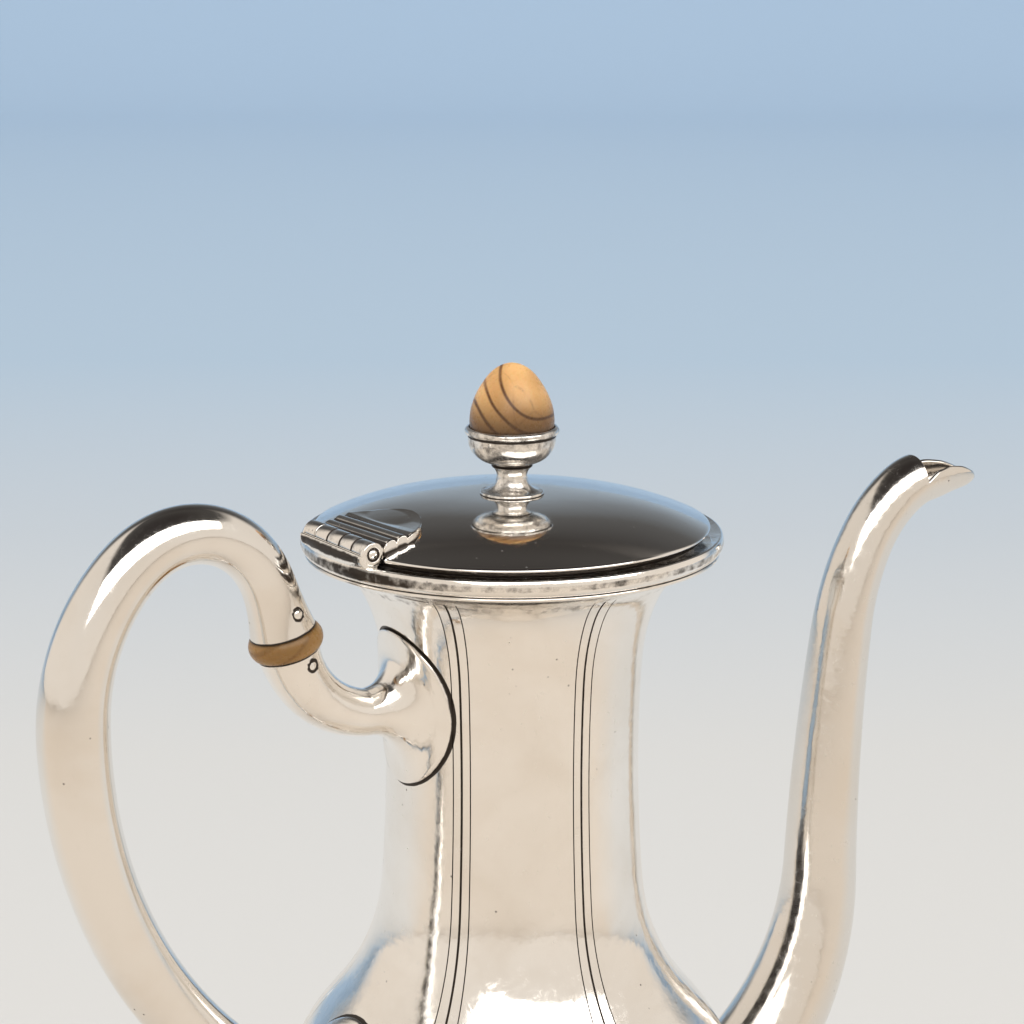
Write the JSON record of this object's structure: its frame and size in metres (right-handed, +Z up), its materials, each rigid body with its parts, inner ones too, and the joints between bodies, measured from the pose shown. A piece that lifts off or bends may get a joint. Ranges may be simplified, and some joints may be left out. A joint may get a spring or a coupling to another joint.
{
  "type": "coffee pot",
  "caption": "Tall silver coffee pot with a hinged domed lid, egg finial, loop handle on two insulating rings and a slender curved spout.",
  "frame": {"origin": "centre of the foot, on the table", "axes": "+Z up along the body's axis, +X towards the spout, -X towards the handle and the lid hinge, +Y completing a right-handed frame"},
  "size_m": [0.2478, 0.108, 0.2364],
  "materials": {
    "polished_silver": "hand-polished silver with soft wear and dark tarnish in the recesses",
    "ivory": "smooth polished ivory with fine growth lines",
    "fixings": "plain dull silver"
  },
  "bodies": {
    "pot": {"body_shell": "polished_silver", "rim_moulding": "polished_silver", "foot_skirt": "polished_silver", "foot_moulding": "polished_silver", "spout": "polished_silver", "handle_tube": "polished_silver", "upper_socket": "polished_silver", "lower_socket": "polished_silver", "upper_insulator": "ivory", "lower_insulator": "ivory", "upper_handle_pin": "polished_silver", "upper_socket_pin": "polished_silver", "lower_handle_pin": "polished_silver", "lower_socket_pin": "polished_silver", "rim_hinge_leaf": "polished_silver", "hinge_pin": "polished_silver"},
    "lid": {"lid_hinge_leaf": "polished_silver", "lid_dome": "polished_silver", "lid_bezel": "polished_silver", "finial_stem": "polished_silver", "finial_cup": "polished_silver", "finial_egg": "ivory", "finial_stud": "fixings", "finial_washer": "fixings", "finial_nut": "fixings"}
  },
  "joints": [
    {"name": "lid_hinge", "type": "hinge", "parent": "pot", "child": "lid", "pos_m": [-0.0431, 0, 0.2008], "axis": [0, -1, 0], "range_deg": [0, 105]}
  ]
}
